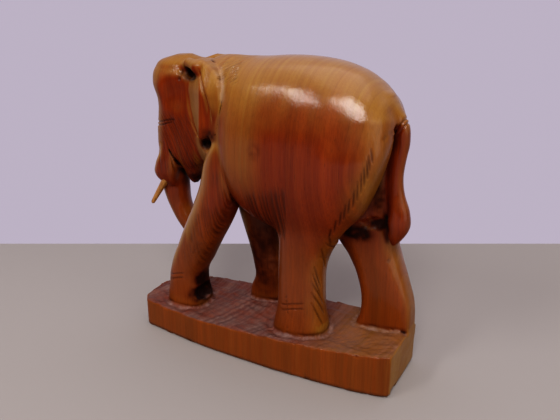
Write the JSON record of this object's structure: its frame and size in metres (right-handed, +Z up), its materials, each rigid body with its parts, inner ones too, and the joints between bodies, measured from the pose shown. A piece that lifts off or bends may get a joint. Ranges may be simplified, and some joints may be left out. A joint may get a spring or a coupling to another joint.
{
  "type": "carved wooden elephant",
  "caption": "Striding elephant carved with its boat-shaped base from one block of varnished hardwood, with peg tusks of a paler wood set into drilled sockets.",
  "frame": {"origin": "middle of the flat underside of the base", "axes": "+Z up; the elephant faces -X; its left side is towards -Y"},
  "size_m": [0.2222, 0.0845, 0.229],
  "materials": {
    "varnished_hardwood": "reddish-brown hardwood with vertical grain, hand varnished to a gloss on the back, dusty and rough-gouged on top of the base",
    "pale_tusk_wood": "pale yellow-brown wood, whittled, satin"
  },
  "bodies": {
    "root": {"carved_block": "varnished_hardwood", "left_tusk": "pale_tusk_wood", "right_tusk": "pale_tusk_wood"}
  },
  "joints": []
}
